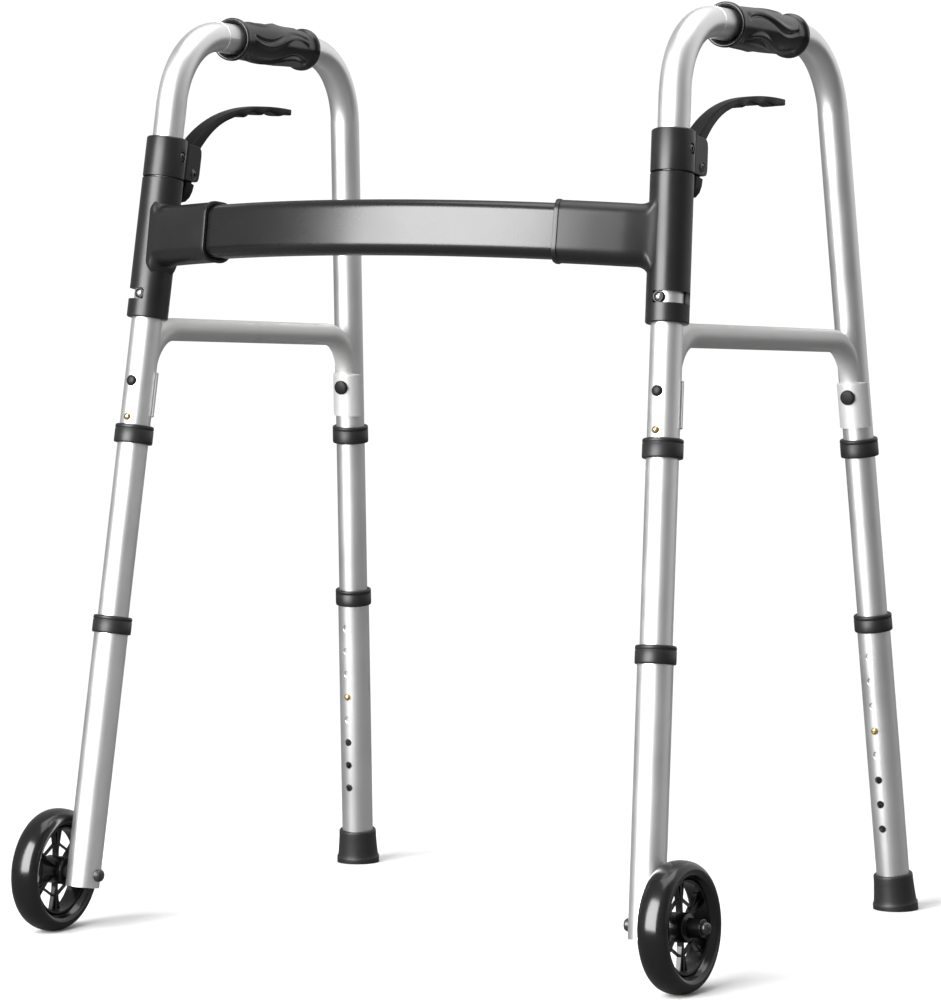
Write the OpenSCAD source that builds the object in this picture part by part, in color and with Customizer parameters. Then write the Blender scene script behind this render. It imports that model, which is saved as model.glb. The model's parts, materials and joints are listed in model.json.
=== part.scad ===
// Folding walking frame with two front wheels and two rubber-tipped rear legs.
// The front faces -Y, the user stands on the +Y side, and the left and right
// sides mirror each other about X = 0. Every side-frame piece is drawn in the
// plane of the side frame: x outwards, y to the rear, z up, from the wheel axle.

/* [Side frame] */
// Distance from the centre plane to the front leg, at axle height
half_track = 311.7; // [290:0.5:330]
// Distance from the wheel axle back to the rear foot
leg_base = 534.7; // [520:0.5:550]
// Lean of the side frame towards the centre, in degrees
splay = 2.5; // [2:0.1:3]
// Turn of the side frame, wider at the rear, in degrees
toe = 0.8; // [0:0.1:1]
// Backward rake of the front leg, in degrees
front_rake = 8.5; // [8:0.1:9]
// Forward rake of the rear leg, in degrees
rear_rake = 6; // [5.5:0.1:6.5]
// Downward slope of the hand rail and the brace, in degrees
rail_slope = 2; // [1:0.1:3]
// Height of the hand rail's centre line above the axle
rail_height = 824.4; // [815:0.5:835]
// Radius of the two hand rail bends, on the centre line
bend_radius = 80; // [70:1:85]

/* [Tubes] */
// Diameter of the side frame tube and of the middle legs
tube_od = 30.5; // [30:0.1:30.8]
// Wall of the side frame tube
tube_wall = 1.3; // [1.1:0.1:1.4]
// Wall of the lower legs
lower_wall = 1.2; // [1:0.1:1.3]
// Diameter of the brace tube
brace_od = 23; // [21:0.5:24]
// Distance between neighbouring height holes
hole_pitch = 25.4; // [25:0.1:25.8]
// Number of height holes in each lower leg
hole_count = 8; // [8:1:8]
// Height hole that holds the button, counted from the top
hole_in_use = 4; // [4:1:4]

/* [Crossbar and hubs] */
// Height of the crossbar section
bar_height = 52; // [48:1:54]
// Depth of the crossbar section
bar_depth = 30; // [26:1:30]
// Radius of the bow of the crossbar, on its centre line
bow_radius = 660; // [640:5:700]
// Distance of the crossbar's centre line up the front leg from the axle
hub_station = 632; // [628:1:636]
// Outer diameter of the hub sleeve and of the lock collar
hub_od = 41; // [40:0.5:42]
// Angle that the hub's stop slot lets a side frame fold through, in degrees
fold_angle = 93; // [90:1:94]

/* [Wheels and tips] */
// Outer diameter of the wheels
wheel_d = 121.4; // [118:0.2:124]
// Width of the tyre
tyre_w = 30; // [28:1:31]
// Distance from the front leg's centre line to the wheel's centre plane
wheel_out = 34; // [33.5:0.5:36]
// Diameter of the rubber tip at its foot
tip_d = 46; // [44:1:50]

/* [Hidden] */
$fn = 96;
run = 0.1;            // radial clearance of a turning fit
slide = 0.3;          // radial clearance between telescoping tubes
snug = 0.05;          // radial clearance of pieces fixed together
hair = 0.2;           // step between a straight tube and its bend
tube_r = tube_od / 2;
bore_r = tube_r - tube_wall;
lower_bore_r = tube_r + slide;
lower_r = lower_bore_r + lower_wall;
brace_r = brace_od / 2;
hub_r = hub_od / 2;
wheel_r = wheel_d / 2;

// Stations along the front leg, from the axle
front_end = -13;
front_mid_end = 107;
front_sleeve = [237.5, 255];
front_ring = [426.5, 445];
front_joint = 436;
front_snap = 452;
front_bolt = 488;
hub_bottom = 551.5;
stop_station = 574.5;
hub_top = 691.5;
collar_bottom = 692.3;
collar_top = 730;
collar_screw_station = 713.8;
front_first_hole = 213.5;

// Stations along the rear leg, from the floor
rear_end = 10;
rear_mid_end = 158;
rear_sleeve = [289, 306.5];
rear_ring = [467.5, 486];
rear_joint = 477;
rear_snap = 494;
rear_bolt = 529.5;
rear_first_hole = 264.7;
tip_top = 37.6;

spigot_r = tube_r - tube_wall - 0.25;
spigot_bore_r = spigot_r - 1.2;
spigot_len = 41;
pin_hole_r = 3.9;
button_r = 3.7;
bolt_r = 3;
axle_r = 4;

// The side-frame plane in the world
axle_z = wheel_r - wheel_out * sin(splay);
foot_drop = axle_z / cos(splay);
tip_heel = 21.8;       // reach of the rubber tip behind the foot centre
mid_y = (leg_base + tip_heel - wheel_r) / 2;

// Directions in the side-frame plane, as [y, z]
front_dir = [sin(front_rake), cos(front_rake)];
rear_dir = [-sin(rear_rake), cos(rear_rake)];
rail_dir = [cos(rail_slope), -sin(rail_slope)];
front_in = [cos(front_rake), -sin(front_rake)];
rear_in = [-cos(rear_rake), -sin(rear_rake)];
rear_foot = [leg_base, -foot_drop];
grip_mid = [289, rail_height];
grip_len = 142;
brace_mid = [281, 528.4];
brace_in = 6;
brace_bend = 40;

front_turn = 90 - front_rake + rail_slope;
rear_turn = 90 - rear_rake - rail_slope;

// Lever and its pivot, in the front leg's frame: [behind the leg, along the leg]
lever_pivot = [34, 702];
ear_low = lever_pivot.y - 13;
ear_high = lever_pivot.y + 26;
lever_w = 16;
ear_gap = lever_w + 0.8;
ear_w = 25;

// The crossbar's own frame
leg_y = sin(front_rake) * cos(toe) + sin(splay) * cos(front_rake) * sin(toe);
leg_x = -sin(splay) * cos(front_rake) * cos(toe) + sin(front_rake) * sin(toe);
leg_z = cos(splay) * cos(front_rake);
bar_tilt = atan2(leg_y, leg_z);
hub_x = half_track + hub_station * leg_x;
hub_y = hub_station * leg_y - mid_y;
hub_z = axle_z + hub_station * leg_z;
bow_back = sqrt(pow(bow_radius, 2) - pow(hub_x, 2));
socket_wall = 3.4;
mouth_angle = asin(187 / bow_radius);
bar_end_angle = asin(262 / bow_radius);
screw_angle = 21.3;

function meet(p, u, q, v) =
    let (d = u.x * v.y - u.y * v.x)
    p + u * (((q.x - p.x) * v.y - (q.y - p.y) * v.x) / d);
function arc(c, r, a0, a1, n) =
    [for (i = [0:n]) c + r * [cos(a0 + (a1 - a0) * i / n), sin(a0 + (a1 - a0) * i / n)]];
function rounded(w, h, r) = concat(
    arc([w / 2 - r, h / 2 - r], r, 0, 90, 6),
    arc([r - w / 2, h / 2 - r], r, 90, 180, 6),
    arc([r - w / 2, r - h / 2], r, 180, 270, 6),
    arc([w / 2 - r, r - h / 2], r, 270, 360, 6));
function signed_power(v, p) = sign(v) * pow(abs(v), p);

rail_corner_f = meet([0, 0], front_dir, grip_mid, rail_dir);
rail_corner_r = meet(rear_foot, rear_dir, grip_mid, rail_dir);
brace_corner_f = meet(front_in * brace_in, front_dir, brace_mid, rail_dir);
brace_corner_r = meet(rear_foot + rear_in * brace_in, rear_dir, brace_mid, rail_dir);

// Places
module right() {
    translate([half_track, -mid_y, axle_z]) rotate([0, -splay, -toe]) children();
}
module left() {
    mirror([1, 0, 0]) right() children();
}
module front_leg(at = 0) {
    rotate([-front_rake, 0, 0]) translate([0, 0, at]) children();
}
module rear_leg(at = 0) {
    translate([0, leg_base, -foot_drop]) rotate([rear_rake, 0, 0])
        translate([0, 0, at]) children();
}
module flat() {
    rotate([90, 0, 90]) children();
}
module forward() {
    rotate([90, 0, 0]) children();
}
module backward() {
    rotate([-90, 0, 0]) children();
}
module bar_frame() {
    translate([0, hub_y, hub_z]) rotate([-bar_tilt, 0, 0]) children();
}

// Shapes
module tube(r, bore, span) {
    difference() {
        translate([0, 0, span[0]]) cylinder(h = span[1] - span[0], r = r);
        translate([0, 0, span[0] - 1]) cylinder(h = span[1] - span[0] + 2, r = bore);
    }
}
module rod(p, q, r) {
    translate([p.x, p.y, 0]) rotate([0, 0, atan2(q.y - p.y, q.x - p.x)])
        rotate([0, 90, 0]) cylinder(h = norm(q - p), r = r);
}
module bend(centre, r, start, turn, bend_r) {
    translate([centre.x, centre.y, 0]) rotate([0, 0, start])
        rotate_extrude(angle = turn) translate([bend_r, 0]) circle(r = r);
}
// A rail that rises beside the front leg, runs back and drops beside the rear leg.
// The bends are a hair thinner than the straights, which reach 1 mm into them.
module arch(corner_f, corner_r, low_f, low_r, bend_r, r, past = 0) {
    len_f = bend_r * tan(front_turn / 2);
    len_r = bend_r * tan(rear_turn / 2);
    start_f = corner_f - front_dir * len_f;
    start_r = corner_r - rear_dir * len_r;
    flat() {
        rod(low_f - front_dir * past, start_f + front_dir, r);
        bend(start_f + front_in * bend_r, r - hair, 90 - rail_slope, front_turn, bend_r);
        rod(corner_f + rail_dir * (len_f - 1), corner_r - rail_dir * (len_r - 1), r);
        bend(start_r + rear_in * bend_r, r - hair, rear_rake, rear_turn, bend_r);
        rod(low_r - rear_dir * past, start_r + rear_dir, r);
    }
}
// A dome-ended pin along +Z, foot at z0 and crown at z1
module domed_pin(r, z0, z1) {
    rotate_extrude() polygon(concat([[0, z0], [r, z0]],
        [for (i = [0:8]) [r * cos(i * 11.25), z1 - r * 0.8 + r * 0.8 * sin(i * 11.25)]]));
}
module leaf(points, width, thick) {
    translate([-width / 2, 0, 0]) rotate([90, 0, 90]) linear_extrude(height = width)
        union() {
            for (i = [0:len(points) - 2]) leaf_strip(points[i], points[i + 1], thick);
        }
}
module leaf_strip(p, q, thick) {
    translate(p) rotate(atan2(q.y - p.y, q.x - p.x))
        translate([-thick / 2, -thick / 2]) square([norm(q - p) + thick, thick]);
}

// Crossbar unit
module bar_arc(w, h, r, a0, a1) {
    translate([0, bow_back, 0]) rotate([0, 0, a0 - 90]) rotate_extrude(angle = a1 - a0)
        translate([bow_radius, 0]) polygon(rounded(w, h, r));
}
module at_bar_screws(side) {
    for (z = [-13, 13]) translate([0, bow_back, z]) rotate([0, 0, side * screw_angle - 90])
        translate([bow_radius - bar_depth / 2, 0, 0]) rotate([0, -90, 0]) children();
}
module crossbar() {
    color("#2b2b2d") bar_frame() difference() {
        bar_arc(bar_depth, bar_height, 11, -bar_end_angle, bar_end_angle);
        bar_arc(bar_depth - 4, bar_height - 4, 9, -bar_end_angle - 1, bar_end_angle + 1);
        for (s = [-1, 1]) at_bar_screws(s) translate([0, 0, -4]) cylinder(h = 8, r = 2.5);
    }
}
module crossbar_screws() {
    color("#3a3a3c") bar_frame() for (s = [-1, 1]) at_bar_screws(s) {
        translate([0, 0, -4.5]) cylinder(h = 4.5 + socket_wall, r = 2.4);
        translate([0, 0, socket_wall + 0.03]) cylinder(h = 2.4, r = 4.4);
    }
}
module hub() {
    sleeve = [hub_bottom, hub_top];
    color("#2d2d2f") difference() {
        union() {
            right() front_leg() translate([0, 0, sleeve[0]])
                cylinder(h = sleeve[1] - sleeve[0], r = hub_r);
            difference() {
                bar_frame() bar_arc(bar_depth + 2 * socket_wall, bar_height + 6, 14,
                    mouth_angle, asin(hub_x / bow_radius));
                bar_frame() bar_arc(bar_depth + 0.3, bar_height + 0.3, 11,
                    mouth_angle - 1, bar_end_angle + 0.1);
            }
        }
        right() front_leg(sleeve[0] - 1) cylinder(h = sleeve[1] - sleeve[0] + 2, r = tube_r + run);
        right() front_leg(stop_station - 5.5) stop_slot();
        right() front_leg(hub_top - 32) lock_notch();
        bar_frame() at_bar_screws(1) cylinder(h = 12, r = 2.5);
    }
}
module stop_slot() {
    rotate([0, 0, -107]) rotate_extrude(angle = fold_angle + 34)
        translate([tube_r - 2, 0]) square([hub_r, 11]);
}
module lock_notch() {
    translate([-lever_w / 2 - 0.4, hub_r - 2.9, 0]) cube([lever_w + 0.8, 6, 16]);
}

// Side frame
module side_tube() {
    low_f = front_dir * front_joint;
    low_r = rear_foot + rear_dir * rear_joint;
    color("#c9cbcc") difference() {
        arch(rail_corner_f, rail_corner_r, low_f, low_r, bend_radius, tube_r);
        arch(rail_corner_f, rail_corner_r, low_f, low_r, bend_radius, bore_r, 1);
        front_leg(collar_screw_station) rotate([0, 90, 0])
            cylinder(h = 60, r = 2.6, center = true);
        front_leg(stop_station) forward() cylinder(h = 30, r = 4.3);
        front_leg(front_bolt) forward() cylinder(h = 60, r = bolt_r + 0.1, center = true);
        front_leg(front_snap) forward() cylinder(h = 30, r = pin_hole_r);
        rear_leg(rear_bolt) forward() cylinder(h = 60, r = bolt_r + 0.1, center = true);
        rear_leg(rear_snap) backward() cylinder(h = 30, r = pin_hole_r);
    }
}
module grip() {
    half = grip_len / 2;
    color("#1d1d1f") flat() translate([grip_mid.x, grip_mid.y, 0]) rotate([0, 0, -rail_slope])
        rotate([0, 90, 0]) rotate_extrude() polygon(concat(
            [[tube_r + snug, -half], [21, -half], [21.8, 1 - half], [21.8, 5 - half], [19.2, 8 - half]],
            [for (i = [0:8]) [19.2 + 1.2 * sin(i * 22.5), 8 - half + (grip_len - 16) * i / 8]],
            [[21.8, half - 5], [21.8, half - 1], [21, half], [tube_r + snug, half]]));
}
module cup(span, facing) {
    difference() {
        translate([0, 0, span[0]]) cylinder(h = span[1] - span[0], r = brace_in + brace_r);
        translate([0, 0, span[0] - 1])
            cylinder(h = span[1] - span[0] + 2, r = tube_r + snug);
        translate([-30, facing > 0 ? -60 : 0, span[0] - 1])
            cube([60, 60, span[1] - span[0] + 2]);
    }
}
module brace() {
    low_f = front_in * brace_in + front_dir * 500;
    low_r = rear_foot + rear_in * brace_in + rear_dir * 540;
    color("#bfc1c2") {
        difference() {
            union() {
                difference() {
                    arch(brace_corner_f, brace_corner_r, low_f, low_r, brace_bend, brace_r);
                    arch(brace_corner_f, brace_corner_r, low_f, low_r, brace_bend,
                        brace_r - 1.3, 1);
                }
                front_leg() cup([455, 520], 1);
                rear_leg() cup([498, 560], -1);
            }
            front_leg(400) cylinder(h = 200, r = tube_r + snug);
            rear_leg(400) cylinder(h = 250, r = tube_r + snug);
            front_leg(front_bolt) backward() cylinder(h = 40, r = bolt_r + 0.1);
            rear_leg(rear_bolt) forward() cylinder(h = 40, r = bolt_r + 0.1);
        }
    }
}
module through_bolt(head, cap) {
    color("#232325") {
        translate([0, 0, -cap + 0.2]) cylinder(h = cap + head, r = bolt_r);
        translate([0, 0, head]) rotate_extrude() polygon(
            [[0, 0], [4.8, 0], [4.8, 0.7], [3.8, 2], [2, 2.7], [0, 2.9]]);
    }
    color("#151516") translate([0, 0, -cap]) rotate([180, 0, 0]) rotate_extrude()
        polygon([[0, 0], [7, 0], [7, 1.6], [6.2, 2.8], [4, 3.5], [0, 3.8]]);
}
module brace_bolts() {
    front_leg(front_bolt) forward() through_bolt(tube_r, brace_in + brace_r);
    rear_leg(rear_bolt) backward() through_bolt(tube_r, brace_in + brace_r);
}
module lock_collar() {
    color("#2d2d2f") front_leg() difference() {
        union() {
            translate([0, 0, collar_bottom]) cylinder(h = collar_top - collar_bottom, r = hub_r);
            translate([-ear_w / 2, 10, collar_bottom])
                cube([ear_w, hub_r - 8, ear_high - collar_bottom]);
            translate([-ear_w / 2, 0, 0]) rotate([90, 0, 90]) linear_extrude(height = ear_w)
                polygon([[22, ear_low], [37, ear_low], [42, ear_low + 5], [42, ear_high - 7],
                    [37, ear_high], [22, ear_high]]);
        }
        translate([0, 0, 600]) cylinder(h = 200, r = tube_r + snug);
        translate([-ear_gap / 2, hub_r + 1.5, ear_low - 1]) cube([ear_gap, 40, 60]);
        translate([-20, 0, 600]) cube([40, hub_r + 0.8, collar_bottom - 600]);
        translate([0, 0, collar_screw_station]) rotate([0, 90, 0]) {
            cylinder(h = 60, r = 2.6, center = true);
            for (s = [-1, 1]) translate([0, 0, s * (hub_r + 8)])
                cylinder(h = 20, r = 5.2, center = true);
        }
        translate([0, lever_pivot.x, lever_pivot.y]) rotate([0, 90, 0]) {
            cylinder(h = 60, r = 2.55, center = true);
            for (s = [-1, 1]) translate([0, 0, s * (ear_w / 2 + 8)])
                cylinder(h = 20, r = 4.6, center = true);
        }
    }
}
module cross_screw(shaft_r, head_r, reach, head_h) {
    rotate([0, 90, 0]) {
        cylinder(h = 2 * reach, r = shaft_r, center = true);
        for (s = [-1, 1]) difference() {
            translate([0, 0, s * (reach + head_h / 2)])
                cylinder(h = head_h, r = head_r, center = true);
            translate([0, 0, s * (reach + head_h)]) cylinder(h = 2, r = 1.6, center = true, $fn = 6);
        }
    }
}
module collar_screw() {
    color("#8d8f92") front_leg(collar_screw_station) cross_screw(2.5, 4.1, hub_r - 2, 1.7);
}
module stop_button() {
    color("#d5d7d8") front_leg(stop_station) forward() domed_pin(4.2, 11, tube_r + 5.3);
}
module middle_leg(low, joint, snap, height_pin) {
    difference() {
        union() {
            translate([0, 0, low]) cylinder(h = joint - low, r = tube_r);
            translate([0, 0, joint]) cylinder(h = spigot_len, r = spigot_r);
        }
        translate([0, 0, low - 1]) cylinder(h = joint - low - 5, r = bore_r);
        translate([0, 0, joint - 10]) cylinder(h = spigot_len + 20, r = spigot_bore_r);
        translate([0, 0, snap[0]]) rotate([-90 * snap[1], 0, 0]) cylinder(h = 30, r = pin_hole_r);
        translate([0, 0, height_pin[0]]) rotate([-90 * height_pin[1], 0, 0])
            cylinder(h = 30, r = pin_hole_r);
    }
}
function front_pin() = front_first_hole - (hole_in_use - 1) * hole_pitch;
function rear_pin() = rear_first_hole - (hole_in_use - 1) * hole_pitch;
module middle_leg_front() {
    color("#c9cbcc") front_leg()
        middle_leg(front_mid_end, front_joint, [front_snap, -1], [front_pin(), 1]);
}
module middle_leg_rear() {
    color("#c9cbcc") rear_leg()
        middle_leg(rear_mid_end, rear_joint, [rear_snap, 1], [rear_pin(), -1]);
}
module joint_rings() {
    color("#1f1f21") {
        front_leg() tube(19.2, tube_r + snug, front_ring);
        rear_leg() tube(19.2, tube_r + snug, rear_ring);
    }
}
// V-shaped leaf spring that holds a button on the side given by facing
module snap_spring(at, foot, bore, facing) {
    translate([0, 0, at]) mirror([0, facing < 0 ? 1 : 0, 0])
        leaf([[foot - 0.6, 5], [foot - 0.6, -6], [0, -20], [1.5 - bore, -8], [1.2 - bore, 4]], 7, 0.8);
}
module snap_springs() {
    color("#b9bbbd") {
        front_leg() snap_spring(front_snap, 7.4, spigot_bore_r, -1);
        rear_leg() snap_spring(rear_snap, 7.4, spigot_bore_r, 1);
        front_leg() snap_spring(front_pin(), 8.4, bore_r, 1);
        rear_leg() snap_spring(rear_pin(), 8.4, bore_r, -1);
    }
}
module snap_button(foot, crown) {
    color("#c8a850") domed_pin(button_r, foot, crown);
}
module upper_button_front() {
    front_leg(front_snap) forward() snap_button(7.4, tube_r + 3);
}
module upper_button_rear() {
    rear_leg(rear_snap) backward() snap_button(7.4, tube_r + 3);
}
module height_button_front() {
    front_leg(front_pin()) backward() snap_button(8.4, lower_r + 2.8);
}
module height_button_rear() {
    rear_leg(rear_pin()) forward() snap_button(8.4, lower_r + 2.8);
}

// Release lever, its pin and its spring
module lever_shape() {
    outer = arc([216, 509.6], 288, 128, 91.2, 16);
    inner = arc([219, 507], 283, 92.4, 124, 14);
    polygon(concat([[21.3, 665], [21.3, 670], [25.3, 678], [25.6, 698], [27.5, 714], [31, 727]],
        outer, inner, [[46.5, 729], [42.5, 718], [41, 704], [39, 684], [35, 672], [28, 665.6]]));
}
module lever() {
    color("#2a2a2c") front_leg() difference() {
        translate([-lever_w / 2, 0, 0]) rotate([90, 0, 90]) linear_extrude(height = lever_w)
            lever_shape();
        translate([0, lever_pivot.x, lever_pivot.y]) rotate([0, 90, 0])
            cylinder(h = 60, r = 2.58, center = true);
        translate([0, lever_pivot.x, lever_pivot.y]) rotate([0, 90, 0])
            cylinder(h = 7, r = 5.4, center = true);
    }
}
module lever_pin() {
    color("#8d8f92") front_leg() translate([0, lever_pivot.x, lever_pivot.y])
        cross_screw(2.5, 4, ear_w / 2 - 1.8, 1.6);
}
module lever_spring() {
    color("#9a9c9e") front_leg() translate([0, lever_pivot.x, lever_pivot.y]) rotate([0, 90, 0])
        union() {
            for (i = [-2:2]) translate([0, 0, i * 1.1])
                rotate_extrude() translate([4, 0]) circle(r = 0.6, $fn = 24);
        }
}

// Lower legs
module height_holes(first, facing) {
    for (i = [0:hole_count - 1]) translate([0, 0, first - i * hole_pitch])
        rotate([-90 * facing, 0, 0]) cylinder(h = 30, r = pin_hole_r);
}
module lower_leg_front() {
    color("#c4c6c7") front_leg() difference() {
        tube(lower_r, lower_bore_r, [front_end, front_sleeve[1] - 3]);
        height_holes(front_first_hole, 1);
        rotate([0, 90, 0]) cylinder(h = 60, r = axle_r + 0.1, center = true);
    }
}
module lower_leg_rear() {
    color("#c4c6c7") rear_leg() difference() {
        tube(lower_r, lower_bore_r, [rear_end, rear_sleeve[1] - 3]);
        height_holes(rear_first_hole, -1);
    }
}
module leg_sleeve(span) {
    color("#1f1f21") difference() {
        translate([0, 0, span[0]]) cylinder(h = span[1] - span[0], r = 19.2);
        translate([0, 0, span[0] - 1]) cylinder(h = span[1] - span[0] - 2, r = lower_r + snug);
        translate([0, 0, span[0]]) cylinder(h = span[1] - span[0] + 1, r = tube_r + 0.2);
    }
}
module leg_sleeve_front() {
    front_leg() leg_sleeve(front_sleeve);
}
module leg_sleeve_rear() {
    rear_leg() leg_sleeve(rear_sleeve);
}
module rubber_tip() {
    color("#1c1c1e") intersection() {
        rear_leg() rotate_extrude() polygon([[0, -8], [tip_d / 2, -8], [tip_d / 2, 4],
            [tip_d / 2 - 1, 8], [20.2, 30], [20, tip_top - 1.5], [18.8, tip_top],
            [lower_r + snug, tip_top], [lower_r + snug, rear_end - snug], [0, rear_end - snug]]);
        translate([0, leg_base, 0]) rotate([0, splay, 0])
            translate([-60, -60, -axle_z]) cube([120, 120, 80]);
    }
}

// Wheel
module on_axle() {
    rotate([0, 90, 0]) children();
}
module wheel_place() {
    translate([wheel_out, 0, 0]) on_axle() children();
}
rim_r = 43;
module tyre() {
    mid = (wheel_r + rim_r) / 2;
    half = (wheel_r - rim_r) / 2;
    color("#161617") wheel_place() rotate_extrude() difference() {
        polygon([for (a = [0:11.25:348.75]) [
            mid + half * signed_power(cos(a), 0.85),
            tyre_w / 2 * signed_power(sin(a), 0.75)]]);
        translate([rim_r - 5, -9]) square([5 + snug, 18]);
    }
}
module spoke() {
    translate([14, -2.2, -4]) cube([26.5, 4.4, 8]);
    for (s = [-1, 1]) translate([13, 0, -3.4]) rotate([0, 0, s * 13]) translate([0, -1, 0])
        cube([27.6, 2, 6.8]);
}
module spoke_ring() {
    difference() {
        translate([0, 0, -2.8]) cylinder(h = 5.6, r = 29, $fn = 6);
        translate([0, 0, -4]) cylinder(h = 8, r = 26.5, $fn = 6);
    }
}
module wheel_core() {
    color("#1b1b1d") wheel_place() {
        tube(rim_r, rim_r - 3, [-9, 9]);
        difference() {
            union() {
                translate([0, 0, -14.8]) cylinder(h = 26.8, r = 15.5);
                translate([0, 0, 11]) cylinder(h = 14, r = 8.5);
                rotate([0, 0, 30]) spoke_ring();
                for (i = [0:5]) rotate([0, 0, i * 60]) spoke();
            }
            translate([0, 0, -20]) cylinder(h = 50, r = 7);
        }
    }
}
module wheel_bushes() {
    color("#6e6f72") wheel_place() {
        tube(7, axle_r + 0.08, [-14.8, -2]);
        tube(7, axle_r + 0.08, [12, 24.8]);
    }
}
module axle_bolt() {
    tip = wheel_out + 25.1;
    color("#26262a") on_axle() {
        translate([0, 0, -lower_r - 3]) cylinder(h = lower_r + 3 + tip, r = axle_r);
        translate([0, 0, tip]) rotate_extrude()
            polygon([[0, 0], [5.6, 0], [5.6, 2], [4.6, 4.6], [2.6, 5.8], [0, 6]]);
    }
}
module axle_nut() {
    color("#19191b") on_axle() {
        difference() {
            translate([0, 0, -lower_r]) rotate([180, 0, 0]) rotate_extrude()
                polygon([[0, -1], [6.3, -1], [6.3, 2.4], [5.4, 4.2], [3, 5.2], [0, 5.4]]);
            cylinder(h = 2 * lower_r + 6.2, r = axle_r + snug, center = true);
            rotate([0, -90, 0]) front_leg() cylinder(h = 60, r = lower_r + snug, center = true);
        }
        difference() {
            translate([0, 0, lower_r - 2]) cylinder(h = wheel_out - 14.95 - lower_r + 2, r = 7.5);
            cylinder(h = 100, r = axle_r + snug, center = true);
            rotate([0, -90, 0]) front_leg() cylinder(h = 60, r = lower_r + snug, center = true);
        }
    }
}

// Pieces, one line per node
crossbar();
mirror([1, 0, 0]) hub();  // hub_left
hub();  // hub_right
crossbar_screws();
left() side_tube();  // side_tube_left
right() side_tube();  // side_tube_right
left() grip();  // grip_left
right() grip();  // grip_right
left() brace();  // brace_left
right() brace();  // brace_right
left() brace_bolts();  // brace_bolts_left
right() brace_bolts();  // brace_bolts_right
left() lock_collar();  // lock_collar_left
right() lock_collar();  // lock_collar_right
left() collar_screw();  // collar_screw_left
right() collar_screw();  // collar_screw_right
left() stop_button();  // stop_button_left
right() stop_button();  // stop_button_right
left() middle_leg_front();  // middle_leg_front_left
right() middle_leg_front();  // middle_leg_front_right
left() middle_leg_rear();  // middle_leg_rear_left
right() middle_leg_rear();  // middle_leg_rear_right
left() joint_rings();  // joint_rings_left
right() joint_rings();  // joint_rings_right
left() snap_springs();  // snap_springs_left
right() snap_springs();  // snap_springs_right
left() lever();  // lever_left
right() lever();  // lever_right
left() lever_pin();  // lever_pin_left
right() lever_pin();  // lever_pin_right
left() lever_spring();  // lever_spring_left
right() lever_spring();  // lever_spring_right
left() upper_button_front();  // upper_button_front_left
right() upper_button_front();  // upper_button_front_right
left() upper_button_rear();  // upper_button_rear_left
right() upper_button_rear();  // upper_button_rear_right
left() height_button_front();  // height_button_front_left
right() height_button_front();  // height_button_front_right
left() height_button_rear();  // height_button_rear_left
right() height_button_rear();  // height_button_rear_right
left() lower_leg_front();  // lower_leg_front_left
right() lower_leg_front();  // lower_leg_front_right
left() lower_leg_rear();  // lower_leg_rear_left
right() lower_leg_rear();  // lower_leg_rear_right
left() leg_sleeve_front();  // leg_sleeve_front_left
right() leg_sleeve_front();  // leg_sleeve_front_right
left() leg_sleeve_rear();  // leg_sleeve_rear_left
right() leg_sleeve_rear();  // leg_sleeve_rear_right
left() rubber_tip();  // rubber_tip_left
right() rubber_tip();  // rubber_tip_right
left() tyre();  // tyre_left
right() tyre();  // tyre_right
left() wheel_core();  // wheel_core_left
right() wheel_core();  // wheel_core_right
left() wheel_bushes();  // wheel_bushes_left
right() wheel_bushes();  // wheel_bushes_right
left() axle_bolt();  // axle_bolt_left
right() axle_bolt();  // axle_bolt_right
left() axle_nut();  // axle_nut_left
right() axle_nut();  // axle_nut_right
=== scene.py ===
import json
import math
import bmesh
import bpy
from mathutils import Matrix, Vector

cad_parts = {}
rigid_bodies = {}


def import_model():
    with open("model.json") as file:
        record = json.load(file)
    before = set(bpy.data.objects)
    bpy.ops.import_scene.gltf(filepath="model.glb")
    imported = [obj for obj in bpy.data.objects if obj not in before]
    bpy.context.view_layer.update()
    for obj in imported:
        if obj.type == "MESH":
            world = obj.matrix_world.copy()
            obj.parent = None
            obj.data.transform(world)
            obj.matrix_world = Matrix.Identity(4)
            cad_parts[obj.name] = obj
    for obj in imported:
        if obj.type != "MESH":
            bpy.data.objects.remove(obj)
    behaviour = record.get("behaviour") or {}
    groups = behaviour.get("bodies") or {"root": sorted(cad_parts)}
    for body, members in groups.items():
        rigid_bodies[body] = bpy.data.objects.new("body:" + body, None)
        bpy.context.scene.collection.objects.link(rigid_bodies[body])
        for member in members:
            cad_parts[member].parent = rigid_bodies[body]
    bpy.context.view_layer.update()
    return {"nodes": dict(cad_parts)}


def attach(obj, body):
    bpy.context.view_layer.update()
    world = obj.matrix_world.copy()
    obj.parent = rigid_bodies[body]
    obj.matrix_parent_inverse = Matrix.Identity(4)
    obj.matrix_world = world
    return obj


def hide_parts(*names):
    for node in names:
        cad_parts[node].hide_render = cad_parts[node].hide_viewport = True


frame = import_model()

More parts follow.
